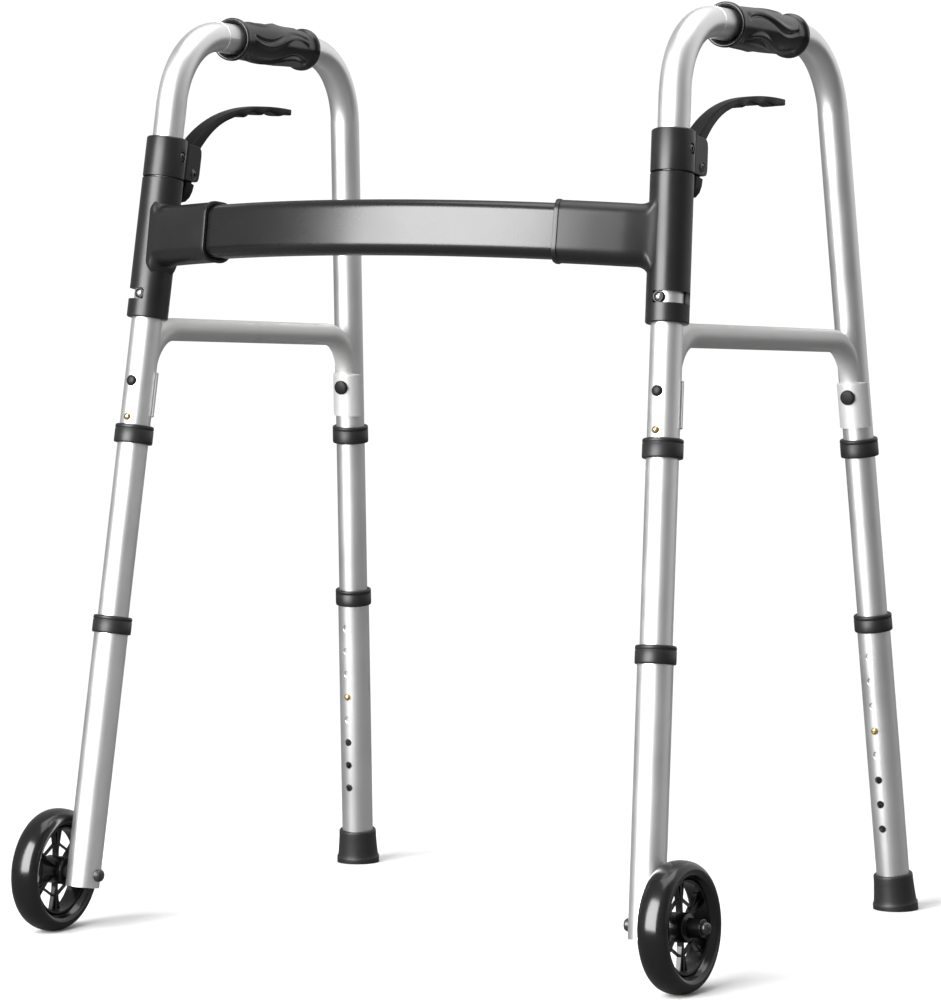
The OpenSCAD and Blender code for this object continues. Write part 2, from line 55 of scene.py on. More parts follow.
# ---------------------------------------------------------------- sizes, mm, as in the CAD source
HALF_TRACK, LEG_BASE, MID_Y = 311.7, 534.7, 247.9
SPLAY, TOE, FRONT_RAKE, REAR_RAKE, RAIL_SLOPE = 2.5, 0.8, 8.5, 6.0, 2.0
TUBE_R, BRACE_R, HUB_R, WHEEL_R, WHEEL_OUT = 15.25, 11.5, 20.5, 60.7, 34.0
LOWER_R = TUBE_R + 0.3 + 1.2
AXLE_Z = WHEEL_R - WHEEL_OUT * math.sin(math.radians(SPLAY))
FOOT_DROP = AXLE_Z / math.cos(math.radians(SPLAY))
GRIP_Y, RAIL_Z, GRIP_LEN = 289.0, 824.4, 142.0
BOW_R, BAR_W, BAR_H = 660.0, 30.0, 52.0
HUB_STATION, STOP_STATION, COLLAR_SCREW_STATION = 632.0, 574.5, 713.8
HUB_BOTTOM, SLOT_LOW, SLOT_HIGH, HUB_TOP, SLOT_START, SLOT_TURN = 551.5, 569.0, 580.0, 691.5, 20, 235
COLLAR_LOW, COLLAR_TOP, EAR_LOW, EAR_TOP, EAR_IN, EAR_OUT = 692.3, 732.2, 694.4, 730.6, 8.4, 13.2
LEVER_PIVOT = (34, 702)          # behind the leg, along the leg
BAR_HALF, SOCKET_MOUTH, SOCKET_FILLET = 262.0, 187.0, 12.0
BAR_SCREW_ANGLE, BAR_SCREW_RISE = 21.3, 13
HOLE_PITCH, HOLE_IN_USE = 25.4, 4
REAR_FIRST_HOLE, FRONT_FIRST_HOLE = 264.7, 213.5
BUTTON_R, FRONT_SNAP, REAR_SNAP, FRONT_BOLT, REAR_BOLT = 3.7, 452, 494, 488, 529.5


def rot(axis, deg):
    return Matrix.Rotation(math.radians(deg), 4, axis)


def shift(x, y, z):
    return Matrix.Translation((x, y, z))


RIGHT = shift(HALF_TRACK, -MID_Y, AXLE_Z) @ rot("Z", -TOE) @ rot("Y", -SPLAY)
FRONT = rot("X", -FRONT_RAKE)
REAR = shift(0, LEG_BASE, -FOOT_DROP) @ rot("X", REAR_RAKE)
FORWARD, BACKWARD = rot("X", 90), rot("X", -90)
ON_AXLE = rot("Y", 90)
TO_METRES = Matrix.Scale(0.001, 4)
leg_dir = RIGHT.to_3x3() @ FRONT.to_3x3() @ Vector((0, 0, 1))
hub_at = RIGHT @ (FRONT @ Vector((0, 0, HUB_STATION)))
BAR_TILT = math.degrees(math.atan2(leg_dir.y, leg_dir.z))
BOW_BACK = math.sqrt(BOW_R ** 2 - hub_at.x ** 2)
BAR = shift(0, hub_at.y, hub_at.z) @ rot("X", -BAR_TILT)


# ---------------------------------------------------------------- mesh helpers
class Shape:
    """Points and faces in mm, gathered in the row frame."""

    def __init__(self):
        self.points, self.faces = [], []

    def add(self, points, faces, m=None):
        base = len(self.points)
        self.points += [(m @ Vector(p)) if m else Vector(p) for p in points]
        self.faces += [tuple(base + i for i in f) for f in faces]
        return self


def loft(rings, caps=True):
    """Closed rings of equal length, joined one after the other."""
    n = len(rings[0])
    points = [p for r in rings for p in r]
    faces = []
    for k in range(len(rings) - 1):
        for i in range(n):
            j = (i + 1) % n
            faces.append((k * n + i, k * n + j, (k + 1) * n + j, (k + 1) * n + i))
    if caps:
        faces.append(tuple(reversed(range(n))))
        faces.append(tuple(range((len(rings) - 1) * n, len(rings) * n)))
    return points, faces


def lathe(profile, segments=64, start=0.0, turn=360.0):
    """A closed or pole-to-pole profile of (radius, height) turned about Z."""
    whole = abs(turn - 360) < 1e-6
    steps = segments if whole else segments + 1
    ends_on_axis = profile[0][0] < 1e-6 and profile[-1][0] < 1e-6
    prof = list(profile) if ends_on_axis else list(profile) + [profile[0]]
    points, faces = [], []
    for r, z in prof:
        for i in range(steps):
            a = math.radians(start + turn * i / segments)
            points.append((r * math.cos(a), r * math.sin(a), z))
    for k in range(len(prof) - 1):
        for i in range(steps if whole else steps - 1):
            j = (i + 1) % steps
            faces.append((k * steps + i, k * steps + j, (k + 1) * steps + j, (k + 1) * steps + i))
    if not whole:
        faces.append(tuple(k * steps for k in range(len(prof) - 1)))
        faces.append(tuple(k * steps + steps - 1 for k in reversed(range(len(prof) - 1))))
    return points, faces


def prism(outline, x0, x1):
    """A flat outline of (y, z) points drawn out from x0 to x1."""
    n = len(outline)
    points = [(x0, y, z) for y, z in outline] + [(x1, y, z) for y, z in outline]
    faces = [tuple(reversed(range(n))), tuple(range(n, 2 * n))]
    faces += [(i, (i + 1) % n, n + (i + 1) % n, n + i) for i in range(n)]
    return points, faces


def block(x0, x1, y0, y1, z0, z1):
    return prism([(y0, z0), (y1, z0), (y1, z1), (y0, z1)], x0, x1)


def rounded(w, h, r, steps=8):
    """A rounded rectangle, starting on the +x side, as (x, y) points."""
    out = []
    for cx, cy, a0 in ((w / 2 - r, h / 2 - r, 0), (r - w / 2, h / 2 - r, 90),
                       (r - w / 2, r - h / 2, 180), (w / 2 - r, r - h / 2, 270)):
        out += [(cx + r * math.cos(math.radians(a0 + 90 * i / steps)),
                 cy + r * math.sin(math.radians(a0 + 90 * i / steps))) for i in range(steps + 1)]
    return out


def smooth(t):
    t = min(1.0, max(0.0, t))
    return t * t * (3 - 2 * t)


def mix(a, b, t):
    return a + (b - a) * t


def build(name, shape, material, body, nodes=(), mirror=False, bevel=0.0, sharp=40):
    """One piece from a Shape in mm: mirrored if asked, smoothed, bevelled and placed on its body."""
    mesh = bpy.data.meshes.new(name)
    points = [TO_METRES @ p for p in shape.points]
    faces = shape.faces
    if mirror:
        points = [Vector((-p.x, p.y, p.z)) for p in points]
        faces = [tuple(reversed(f)) for f in faces]
    mesh.from_pydata([tuple(p) for p in points], [], faces)
    mesh.validate()
    bm = bmesh.new()
    bm.from_mesh(mesh)
    bmesh.ops.remove_doubles(bm, verts=bm.verts, dist=1e-6)
    bmesh.ops.recalc_face_normals(bm, faces=bm.faces)
    bm.to_mesh(mesh)
    bm.free()
    mesh.shade_smooth()
    mesh.set_sharp_from_angle(angle=math.radians(sharp))
    obj = bpy.data.objects.new(name, mesh)
    bpy.context.scene.collection.objects.link(obj)
    mesh.materials.append(material)
    if bevel:
        mod = obj.modifiers.new("edges", "BEVEL")
        mod.width = bevel * 0.001
        mod.segments = 3
        mod.limit_method = "ANGLE"
        mod.angle_limit = math.radians(35)
        mod.harden_normals = True
    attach(obj, body)
    if nodes:
        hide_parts(*nodes)
    return obj


def pair(name, shape, material, body, nodes=(), bevel=0.0, sharp=40):
    """The same piece on both sides. shape is in the row frame, on the right side."""
    for side in ("right", "left"):
        build(f"{name}_{side}", shape, material, body.format(side=side),
              [f"{n}_{side}" for n in nodes], side == "left", bevel, sharp)


# ---------------------------------------------------------------- materials
def material(name, colour, roughness, metallic=0.0, fleck=0.03, fleck_size=900.0, rough_spread=0.06,
             bump=0.1, bump_size=2500.0, bump_depth=0.00005, stretch=(1, 1, 1), specular=0.5,
             coat=0.0, coat_roughness=0.1, grime=0.0):
    mat = bpy.data.materials.new(name)
    mat.use_nodes = True
    nodes, links = mat.node_tree.nodes, mat.node_tree.links
    shader = nodes["Principled BSDF"]
    place = nodes.new("ShaderNodeTexCoord")
    scale = nodes.new("ShaderNodeMapping")
    scale.inputs["Scale"].default_value = stretch
    links.new(place.outputs["Object"], scale.inputs["Vector"])
    grain = nodes.new("ShaderNodeTexNoise")
    grain.inputs["Scale"].default_value = fleck_size
    grain.inputs["Detail"].default_value = 4
    links.new(scale.outputs["Vector"], grain.inputs["Vector"])
    patches = nodes.new("ShaderNodeTexNoise")
    patches.inputs["Scale"].default_value = 22.0
    patches.inputs["Detail"].default_value = 5
    links.new(place.outputs["Object"], patches.inputs["Vector"])
    tone = nodes.new("ShaderNodeMix")
    tone.data_type = "RGBA"
    low = [max(0.0, c * (1 - fleck)) for c in colour]
    high = [min(1.0, c * (1 + fleck)) for c in colour]
    tone.inputs[6].default_value = (*low, 1)
    tone.inputs[7].default_value = (*high, 1)
    links.new(grain.outputs["Fac"], tone.inputs[0])
    worn = nodes.new("ShaderNodeMix")
    worn.data_type = "RGBA"
    worn.blend_type = "MULTIPLY"
    worn.inputs[0].default_value = 1.0
    shade = nodes.new("ShaderNodeMapRange")
    shade.inputs["To Min"].default_value = 1 - 2 * grime
    shade.inputs["To Max"].default_value = 1.0
    links.new(patches.outputs["Fac"], shade.inputs["Value"])
    links.new(tone.outputs[2], worn.inputs[6])
    links.new(shade.outputs["Result"], worn.inputs[7])
    links.new(worn.outputs[2], shader.inputs["Base Color"])
    finish = nodes.new("ShaderNodeMapRange")
    finish.inputs["From Min"].default_value = 0.3
    finish.inputs["From Max"].default_value = 0.7
    finish.inputs["To Min"].default_value = max(0.02, roughness - rough_spread)
    finish.inputs["To Max"].default_value = min(1.0, roughness + rough_spread)
    links.new(patches.outputs["Fac"], finish.inputs["Value"])
    links.new(finish.outputs["Result"], shader.inputs["Roughness"])
    skin = nodes.new("ShaderNodeTexNoise")
    skin.inputs["Scale"].default_value = bump_size
    skin.inputs["Detail"].default_value = 3
    links.new(scale.outputs["Vector"], skin.inputs["Vector"])
    relief = nodes.new("ShaderNodeBump")
    relief.inputs["Strength"].default_value = bump
    relief.inputs["Distance"].default_value = bump_depth
    links.new(skin.outputs["Fac"], relief.inputs["Height"])
    links.new(relief.outputs["Normal"], shader.inputs["Normal"])
    shader.inputs["Metallic"].default_value = metallic
    shader.inputs["Specular IOR Level"].default_value = specular
    shader.inputs["Coat Weight"].default_value = coat
    shader.inputs["Coat Roughness"].default_value = coat_roughness
    return mat


ALONG = (1, 1, 0.02)
m_tube = material("anodised_tube", (0.87, 0.87, 0.87), 0.40, 1.0, fleck=0.02, stretch=ALONG,
                  rough_spread=0.03)
m_lower = material("anodised_lower", (0.85, 0.85, 0.85), 0.40, 1.0, fleck=0.02, stretch=ALONG,
                   rough_spread=0.03)
m_brace = material("anodised_brace", (0.62, 0.62, 0.615), 0.55, 0.55, fleck=0.02, rough_spread=0.03)
m_hub = material("satin_black_plastic", (0.006, 0.006, 0.0062), 0.36, fleck=0.12, bump=0.2, specular=0.5,
                 grime=0.04)
m_collar = material("collar_plastic", (0.007, 0.007, 0.0072), 0.44, fleck=0.12, bump=0.2, grime=0.04)
m_bar = material("gloss_black_paint", (0.003, 0.003, 0.0031), 0.27, fleck=0.06, bump=0.02, specular=0.6,
                 rough_spread=0.02, coat=0.15, coat_roughness=0.15)
m_grip = material("grip_vinyl", (0.004, 0.004, 0.0042), 0.24, fleck=0.1, bump=0.08, rough_spread=0.04,
                  specular=0.6)
m_tyre = material("tyre_rubber", (0.0035, 0.0035, 0.0037), 0.17, fleck=0.1, bump=0.06, rough_spread=0.03,
                  specular=0.6)
m_core = material("wheel_plastic", (0.006, 0.006, 0.0065), 0.22, fleck=0.1, bump=0.05, rough_spread=0.03)
m_tip = material("tip_rubber", (0.012, 0.012, 0.0125), 0.5, fleck=0.15, bump=0.35, bump_size=1600, grime=0.06)
m_brass = material("brass", (0.80, 0.62, 0.28), 0.22, 1.0, fleck=0.05)
m_steel = material("bright_steel", (0.72, 0.73, 0.75), 0.22, 1.0, fleck=0.05)
m_black_steel = material("black_steel", (0.02, 0.02, 0.022), 0.28, 0.0, fleck=0.1, specular=0.7)
m_cap = material("cap_black", (0.007, 0.007, 0.0072), 0.46, fleck=0.1, bump=0.1, specular=0.3)
m_lever = material("lever_plastic", (0.0035, 0.0035, 0.0036), 0.38, fleck=0.12, bump=0.2, specular=0.2)
m_screw = material("dark_screw", (0.16, 0.16, 0.165), 0.24, 1.0, fleck=0.08)

# CAD nodes that stay visible; the others are hidden behind the pieces below
carried = {
    "side_tube": m_tube, "middle_leg_front": m_tube, "middle_leg_rear": m_tube,
    "lower_leg_front": m_lower, "lower_leg_rear": m_lower,
    "snap_springs": m_steel, "lever_spring": m_steel, "wheel_bushes": m_steel,
    "axle_bolt": m_black_steel, "axle_nut": m_black_steel,
}
for node_name, obj in frame["nodes"].items():
    stem = node_name.replace("_left", "").replace("_right", "")
    obj.data.materials.clear()
    obj.data.materials.append(carried.get(stem, m_hub))
    for p in obj.data.polygons:
        p.use_smooth = True


# ---------------------------------------------------------------- crossbar
def bar_ring(angle, section):
    """A section of (depth, height) points set across the bow at an angle from its middle."""
    a = math.radians(angle)
    ring = []
    for d, h in section:
        r = BOW_R + d
        ring.append(BAR @ Vector((r * math.sin(a), BOW_BACK - r * math.cos(a), h)))
    return ring


bar_end = math.degrees(math.asin(BAR_HALF / BOW_R))
mouth = math.degrees(math.asin(SOCKET_MOUTH / BOW_R))
bar = Shape()
section = rounded(BAR_W, BAR_H, 11, 12)
bar.add(*loft([bar_ring(-bar_end + 2 * bar_end * i / 96, section) for i in range(97)]))
build("crossbar_skin", bar, m_bar, "crossbar_unit", ["crossbar"], sharp=60)


# ---------------------------------------------------------------- hubs
def sleeve_band(z0, z1, start=0.0, turn=360.0, low_lip=0.0, top_lip=0.0):
    """A stretch of the hub's sleeve, with a chamfer at an end that has a lip."""
    low = [(HUB_R - low_lip, z0), (HUB_R, z0 + low_lip)] if low_lip else [(HUB_R, z0)]
    top = [(HUB_R, z1 - top_lip), (HUB_R - top_lip, z1)] if top_lip else [(HUB_R, z1)]
    return lathe([(15.4, z0)] + low + top + [(15.4, z1)], 96 if turn == 360 else 60, start, turn)


hub = Shape()
on_front = RIGHT @ FRONT
hub.add(*sleeve_band(HUB_BOTTOM, SLOT_LOW, low_lip=1.0), on_front)
hub.add(*sleeve_band(SLOT_LOW, SLOT_HIGH, SLOT_START, SLOT_TURN), on_front)
hub.add(*sleeve_band(SLOT_HIGH, HUB_TOP, top_lip=1.0), on_front)
arm_w, arm_h = BAR_W + 6.8, BAR_H + 6.0
hub_angle = math.degrees(math.asin(hub_at.x / BOW_R))
sleeve_edge = hub_angle - math.degrees(17.0 / BOW_R)
rings = []
for i in range(48):
    angle = mix(hub_angle, mouth, i / 48)
    gap = math.radians(sleeve_edge - angle) * BOW_R
    flare = SOCKET_FILLET
    if gap > 0:
        flare -= math.sqrt(SOCKET_FILLET ** 2 - (SOCKET_FILLET - min(gap, SOCKET_FILLET)) ** 2)
    w = arm_w - 0.6 * smooth((gap - 10) / 40) - 3.2 * (1 - smooth(gap / 26))
    rings.append(bar_ring(angle, rounded(w, arm_h + 2 * flare, min(14.0 + flare, w / 2 - 0.5), 10)))
# The lip at the socket's mouth, and the bore behind it: angle past the mouth, depth, height, corner
for past, w, h, corner in ((0.50, arm_w - 0.6, arm_h, 14), (0.40, arm_w - 0.6, arm_h, 14),
                           (0.34, arm_w + 1.2, arm_h + 1.6, 14.5), (0.08, arm_w + 1.2, arm_h + 1.6, 14.5),
                           (0.0, arm_w + 0.4, arm_h + 0.8, 14), (-0.02, BAR_W + 2.2, BAR_H + 2.2, 11.5),
                           (0.06, BAR_W + 0.3, BAR_H + 0.3, 11), (3.0, BAR_W + 0.3, BAR_H + 0.3, 11)):
    rings.append(bar_ring(mouth + past, rounded(w, h, corner, 10)))
hub.add(*loft(rings))
pair("hub_moulding", hub, m_hub, "crossbar_unit", ["hub"], sharp=38)

# Screws of the crossbar, behind the sockets
screws = Shape()
for z in (-BAR_SCREW_RISE, BAR_SCREW_RISE):
    for s in (-1, 1):
        turn = rot("Z", s * BAR_SCREW_ANGLE - 90)
        axis = BAR @ shift(0, BOW_BACK, z) @ turn @ shift(BOW_R - BAR_W / 2 - 3.4, 0, 0) @ rot("Y", -90)
        screws.add(*lathe([(0, -3.2), (4.4, -3.2), (4.4, 0.9), (3.7, 1.9), (2.3, 2.35), (1.7, 2.35),
                           (1.6, 0.9), (0, 0.9)], 24), axis)
build("crossbar_screw_heads", screws, m_black_steel, "crossbar_unit", ["crossbar_screws"])

# ---------------------------------------------------------------- lock collars
collar = Shape()
collar.add(*lathe([(TUBE_R + 0.05, COLLAR_LOW), (HUB_R - 0.5, COLLAR_LOW), (HUB_R, COLLAR_LOW + 0.5),
                   (HUB_R, COLLAR_TOP - 1.6), (HUB_R - 0.5, COLLAR_TOP - 0.7), (HUB_R - 1.6, COLLAR_TOP),
                   (TUBE_R + 0.05, COLLAR_TOP)], 128), on_front)
ears = Shape()
ear = [(16.5, EAR_LOW), (38, EAR_LOW), (42.6, 695.6), (44.4, 698.6), (45, 703), (45, 722), (44, 727),
       (41, 730), (36, EAR_TOP), (16.5, EAR_TOP)]
for s in (-1, 1):
    ears.add(*prism(ear, *sorted((s * EAR_IN, s * EAR_OUT))), on_front)
ears.add(*prism([(14, EAR_LOW), (21.5, EAR_LOW), (21.5, EAR_TOP), (14, EAR_TOP)], -EAR_OUT, EAR_OUT),
         on_front)


def hollow(names, cutter):
    """Takes a shape out of pieces that are already built, on both sides."""
    for side in ("right", "left"):
        tool = bpy.data.meshes.new("cutter")
        flip = -1 if side == "left" else 1
        points = [TO_METRES @ p for p in cutter.points]
        tool.from_pydata([(p.x * flip, p.y, p.z) for p in points], [],
                         [tuple(reversed(f)) if flip < 0 else f for f in cutter.faces])
        tool_obj = bpy.data.objects.new("cutter", tool)
        bpy.context.scene.collection.objects.link(tool_obj)
        for name in names:
            obj = bpy.data.objects[f"{name}_{side}"]
            mod = obj.modifiers.new("recess", "BOOLEAN")
            mod.object = tool_obj
            mod.solver = "EXACT"
            bpy.context.view_layer.update()
            cut = bpy.data.meshes.new_from_object(obj.evaluated_get(bpy.context.evaluated_depsgraph_get()))
            obj.modifiers.remove(mod)
            obj.data = cut
            cut.shade_smooth()
            cut.set_sharp_from_angle(angle=math.radians(35))
        bpy.data.objects.remove(tool_obj)


pair("lock_collar_moulding", collar, m_hub, "side_frame_{side}", ["lock_collar"])
pair("lock_collar_ears", ears, m_hub, "side_frame_{side}", [], bevel=0.7)
pits = Shape()
for s in (-1, 1):
    pits.add(*lathe([(0, 18.4), (5.2, 18.4), (5.2, 30), (0, 30)], 32),
             on_front @ shift(0, 0, COLLAR_SCREW_STATION) @ rot("Y", 90 * s))
hollow(["lock_collar_moulding"], pits)


def socket_screw(r, h, m, shape):
    """A domed head with a hexagon socket, its axis along Z and its seat at 0."""
    shape.add(*lathe([(0, -1), (r, -1), (r, h * 0.45), (r * 0.86, h * 0.82), (r * 0.62, h), (r * 0.5, h),
                      (r * 0.46, h * 0.3), (0, h * 0.25)], 24), m)


cross_screws, lever_pins = Shape(), Shape()
for s in (-1, 1):
    at_screw = on_front @ shift(0, 0, COLLAR_SCREW_STATION) @ rot("Y", 90 * s)
    at_pin = on_front @ shift(0, *LEVER_PIVOT) @ rot("Y", 90 * s)
    socket_screw(4.3, 1.7, at_screw @ shift(0, 0, 18.5), cross_screws)
    socket_screw(3.9, 1.5, at_pin @ shift(0, 0, 12.6), lever_pins)
    lever_pins.add(*lathe([(4.3, 12.6), (5.2, 12.6), (5.2, 13.5), (4.9, 13.8), (4.5, 13.5)], 32), at_pin)
pair("collar_screw_heads", cross_screws, m_screw, "side_frame_{side}", ["collar_screw"])
pair("lever_pin_heads", lever_pins, m_screw, "side_frame_{side}", ["lever_pin"])

# ---------------------------------------------------------------- levers
def lever_ring(outer, inner, width, round_to=0.28, n=40):
    """A rounded section between an outer and an inner contour point, [behind, along] the leg."""
    (oy, oz), (iy, iz) = outer, inner
    cy, cz = (oy + iy) / 2, (oz + iz) / 2
    uy, uz = (oy - iy) / 2, (oz - iz) / 2
    ring = []
    for k in range(n):
        a = 2 * math.pi * k / n
        c, s = math.cos(a), math.sin(a)
        sx = math.copysign(abs(c) ** round_to, c)
        st = math.copysign(abs(s) ** round_to, s)
        ring.append((sx * width / 2, cy + uy * st, cz + uz * st))
    return ring


# Near contour point, far contour point and width, up from the pawl to the top of the ears
tail = [((21.6, 672.6), (24.5, 671.2), 15.0), ((21.6, 674.4), (31.0, 673.6), 20.0),
        ((21.8, 677.4), (36.0, 678.6), 22.6), ((22.6, 683), (39.4, 685.2), 23.6),
        ((24.2, 693.2), (41.0, 691.9), 23.6), ((24.6, 694.2), (41.2, 693.4), 16.4),
        ((25.6, 702), (43.6, 702), 16.4), ((26.6, 714), (43.8, 714), 16.4),
        ((28.4, 722), (44.0, 722.5), 16.4)]


def bezier(a, b, c, d, t):
    u = 1 - t
    weights = (u ** 3, 3 * u * u * t, 3 * u * t * t, t ** 3)
    return tuple(sum(w * p for w, p in zip(weights, points)) for points in zip(a, b, c, d))


def on_lever(t):
    return bezier((31.0, 727.0), (56.0, 759.0), (105.0, 792.0), (213.0, 799.5), t)


arm = []
ARM_STEPS, GRIP_FROM, WAVE_LENGTH = 56, 0.60, 0.13
for i in range(1, ARM_STEPS + 1):
    t = i / ARM_STEPS
    outer = on_lever(t)
    ahead, behind = on_lever(min(1.0, t + 0.01)), on_lever(t - 0.01)
    run, rise = ahead[0] - behind[0], ahead[1] - behind[1]
    size = math.hypot(run, rise)
    wave = 0.5 - 0.5 * math.cos(2 * math.pi * (t - GRIP_FROM) / WAVE_LENGTH) if GRIP_FROM < t < 0.99 else 0.0
    thick = mix(13.4, 6.8, smooth(t / 0.55)) - 1.2 * smooth((t - 0.56) / 0.05) + 3.6 * wave
    if t > 0.97:
        thick = max(thick, 6.4)
    inner = (outer[0] + rise / size * thick, outer[1] - run / size * thick)
    width = 16.2 - 1.6 * smooth((t - 0.1) / 0.4) + 1.6 * wave
    arm.append((outer, inner, width))
(oy, oz), (iy, iz), w = arm[-1]
arm.append(((oy + 0.9, oz - 0.8), (iy + 0.9, iz + 0.8), w - 1.6))
arm.append(((oy + 1.3, oz - 1.8), (iy + 1.3, iz + 1.8), w - 3.6))
lever = Shape()
lever.add(*loft([lever_ring(*r) for r in tail + arm]), on_front)
pair("lever_moulding", lever, m_lever, "lever_body_{side}", ["lever"], sharp=50)

# ---------------------------------------------------------------- grips
grip = Shape()
NU, NV = 150, 144
half = GRIP_LEN / 2
rings = []
for i in range(NU + 1):
    u = -half + GRIP_LEN * i / NU
    e = half - abs(u)
    body = 19.3 + 1.5 * math.cos(math.pi * u / (GRIP_LEN - 18)) ** 2 * (1 if abs(u) < half - 9 else 0)
    flange = 21.8 if e > 1.2 else mix(20.6, 21.8, math.sqrt(max(0.0, e / 1.2)))
    base = mix(flange, body, smooth((e - 4.6) / 4.2))
    ring = []
    for k in range(NV):
        a = 2 * math.pi * k / NV
        r = base
        w = u / (half - 16)
        if abs(w) < 1:
            fade = smooth((1 - abs(w)) / 0.14)
            sway = 0.34 * math.sin(math.pi * 0.95 * w)
            for centre in (-1.85, -0.62, 0.62, 1.85, 3.1):
                d = (a - centre - sway + math.pi) % (2 * math.pi) - math.pi
                r -= 1.9 * fade * math.exp(-((d - 0.10) / 0.085) ** 2)
                r += 1.5 * fade * math.exp(-((d + 0.14) / 0.13) ** 2)
        ring.append((r * math.cos(a), r * math.sin(a), u))
    rings.append(ring)
mouth_out = [[(r * math.cos(2 * math.pi * k / NV), r * math.sin(2 * math.pi * k / NV), z) for k in range(NV)]
             for r, z in ((15.35, -half + 9), (16.2, -half + 4), (18.2, -half + 0.9), (19.8, -half + 0.1))]
mouth_in = [[(r * math.cos(2 * math.pi * k / NV), r * math.sin(2 * math.pi * k / NV), z) for k in range(NV)]
            for r, z in ((19.8, half - 0.1), (18.2, half - 0.9), (16.2, half - 4), (15.35, half - 9))]
# The grip's own Z runs backwards along the rail, its X points up
ON_RAIL = RIGHT @ shift(0, GRIP_Y, RAIL_Z) @ rot("X", -90 - RAIL_SLOPE) @ rot("Z", 90)
grip.add(*loft(mouth_out + rings + mouth_in, caps=False), ON_RAIL)
pair("grip_moulding", grip, m_grip, "side_frame_{side}", ["grip"], sharp=70)

# ---------------------------------------------------------------- braces
def meet(p, u, q, v):
    """Where the line through p along u crosses the line through q along v."""
    d = u[0] * v[1] - u[1] * v[0]
    t = ((q[0] - p[0]) * v[1] - (q[1] - p[1]) * v[0]) / d
    return (p[0] + u[0] * t, p[1] + u[1] * t)


def deg(a):
    return math.radians(a)


f_dir = (math.sin(deg(FRONT_RAKE)), math.cos(deg(FRONT_RAKE)))
r_dir = (-math.sin(deg(REAR_RAKE)), math.cos(deg(REAR_RAKE)))
rail = (math.cos(deg(RAIL_SLOPE)), -math.sin(deg(RAIL_SLOPE)))
f_in = (f_dir[1], -f_dir[0])
r_in = (-r_dir[1], r_dir[0])
foot = (LEG_BASE, -FOOT_DROP)
BRACE_IN, BRACE_BEND = 6.0, 47.0
CUP_IN, CUP_OUT, CUP_SPAN, RING_POINTS = 15.35, 17.5, 80.0, 56
corner_f = meet((f_in[0] * BRACE_IN, f_in[1] * BRACE_IN), f_dir, (281, 528.4), rail)
corner_r = meet((foot[0] + r_in[0] * BRACE_IN, foot[1] + r_in[1] * BRACE_IN), r_dir, (281, 528.4), rail)
turn_f = 90 - FRONT_RAKE + RAIL_SLOPE
turn_r = 90 - REAR_RAKE - RAIL_SLOPE


def brace_end(corner, leg, inward, along, turn, low, high, base):
    """Rings from the middle of the rail, round the bend and down the leg, flattening into a half shell."""
    reach = BRACE_BEND * math.tan(deg(turn) / 2)
    rings = []
    n = RING_POINTS

    def circle(c, tangent):
        nx = (-tangent[1], tangent[0])
        return [(BRACE_R * math.cos(2 * math.pi * k / n),
                 c[0] + nx[0] * BRACE_R * math.sin(2 * math.pi * k / n),
                 c[1] + nx[1] * BRACE_R * math.sin(2 * math.pi * k / n)) for k in range(n)]
    sign = 1 if along[0] * inward[0] + along[1] * inward[1] > 0 else -1
    half_rail = abs(corner_r[0] - corner_f[0]) / math.cos(deg(RAIL_SLOPE)) / 2 - reach
    go = (-along[0] * sign, -along[1] * sign)          # towards the leg
    for s in (half_rail + 0.5, half_rail / 2, 40, 12, 0):
        c = (corner[0] - go[0] * (reach + s), corner[1] - go[1] * (reach + s))
        rings.append(circle(c, go))
    start = (corner[0] - go[0] * reach, corner[1] - go[1] * reach)
    down = (-leg[0], -leg[1])
    cross = go[0] * down[1] - go[1] * down[0]
    side = 1 if cross > 0 else -1
    centre = (start[0] - go[1] * side * BRACE_BEND, start[1] + go[0] * side * BRACE_BEND)
    for i in range(1, 19):
        a = deg(turn) * i / 18 * side
        dx, dy = start[0] - centre[0], start[1] - centre[1]
        p = (centre[0] + dx * math.cos(a) - dy * math.sin(a), centre[1] + dx * math.sin(a) + dy * math.cos(a))
        t = (go[0] * math.cos(a) - go[1] * math.sin(a), go[0] * math.sin(a) + go[1] * math.cos(a))
        rings.append(circle(p, t))
    # Down the leg: the circle turns into a crescent round the leg's own axis
    end_s = (corner[0] - base[0]) * leg[0] + (corner[1] - base[1]) * leg[1] - reach
    flat_to = high - 14
    for i in range(1, 31):
        s = mix(end_s, low, i / 30)
        t = smooth((end_s - s) / max(1.0, end_s - flat_to))
        axis = (base[0] + leg[0] * s, base[1] + leg[1] * s)
        c = (axis[0] + inward[0] * BRACE_IN, axis[1] + inward[1] * BRACE_IN)
        nx = (-down[1], down[0])
        ring = []
        flip = 1 if nx[0] * inward[0] + nx[1] * inward[1] > 0 else -1
        for k in range(n):
            a = 2 * math.pi * k / n
            x0, h0 = BRACE_R * math.cos(a), BRACE_R * math.sin(a) * flip
            px, ph = x0, h0 + BRACE_IN
            q = k / n * 2
            if q <= 1:
                b = deg(mix(CUP_SPAN, -CUP_SPAN, q))
                rr = CUP_OUT if flip > 0 else CUP_IN
            else:
                b = deg(mix(-CUP_SPAN, CUP_SPAN, q - 1))
                rr = CUP_IN if flip > 0 else CUP_OUT
            cx, ch = rr * math.sin(b), rr * math.cos(b)
            x, hh = mix(px, cx, t), mix(ph, ch, t)
            ring.append((x, axis[0] + inward[0] * hh, axis[1] + inward[1] * hh))
        rings.append(ring)
    return rings


